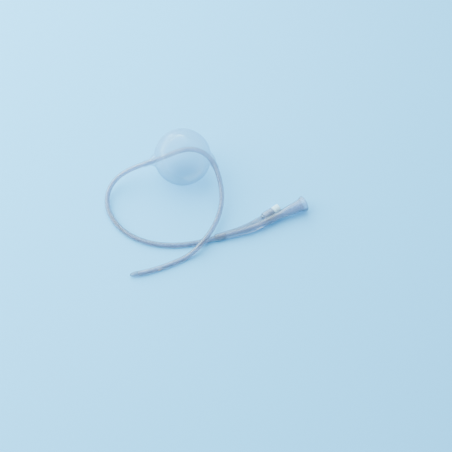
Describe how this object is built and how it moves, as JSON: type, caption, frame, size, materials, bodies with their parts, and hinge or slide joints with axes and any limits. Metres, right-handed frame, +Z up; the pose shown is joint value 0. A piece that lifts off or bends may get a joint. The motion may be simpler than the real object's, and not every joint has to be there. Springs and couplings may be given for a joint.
{
  "type": "urethral catheter",
  "caption": "Clear two-way balloon catheter lying in a loop, balloon filled, with a drainage funnel and a side arm with a spring valve.",
  "frame": {"origin": "on the table, at the middle of the box round the balloon, the tip and the Y connector", "axes": "+X roughly along the Y connector as seen from above, out of its funnel; +Z up; +Y from the connector towards the balloon"},
  "size_m": [0.1492, 0.102, 0.0452],
  "materials": {
    "clear_silicone": "translucent satin",
    "balloon_silicone": "clear gloss",
    "white_plastic": "matt",
    "seal_rubber": "matt",
    "spring_steel": "drawn wire"
  },
  "bodies": {
    "catheter": {"shaft": "clear_silicone", "tip": "clear_silicone", "balloon": "balloon_silicone", "y_funnel": "clear_silicone", "valve_housing": "white_plastic", "valve_spring": "spring_steel", "valve_retainer": "white_plastic"},
    "plunger": {"valve_plunger": "white_plastic", "valve_seal": "seal_rubber"}
  },
  "joints": [
    {"name": "plunger_press", "type": "slide", "parent": "catheter", "child": "plunger", "axis": [-0.9739, -0.2264, -0.0139], "range_m": [0, 0.0012], "stiffness_N_per_m": 200, "springref_m": -0.001, "deforming": ["valve_spring"]}
  ]
}
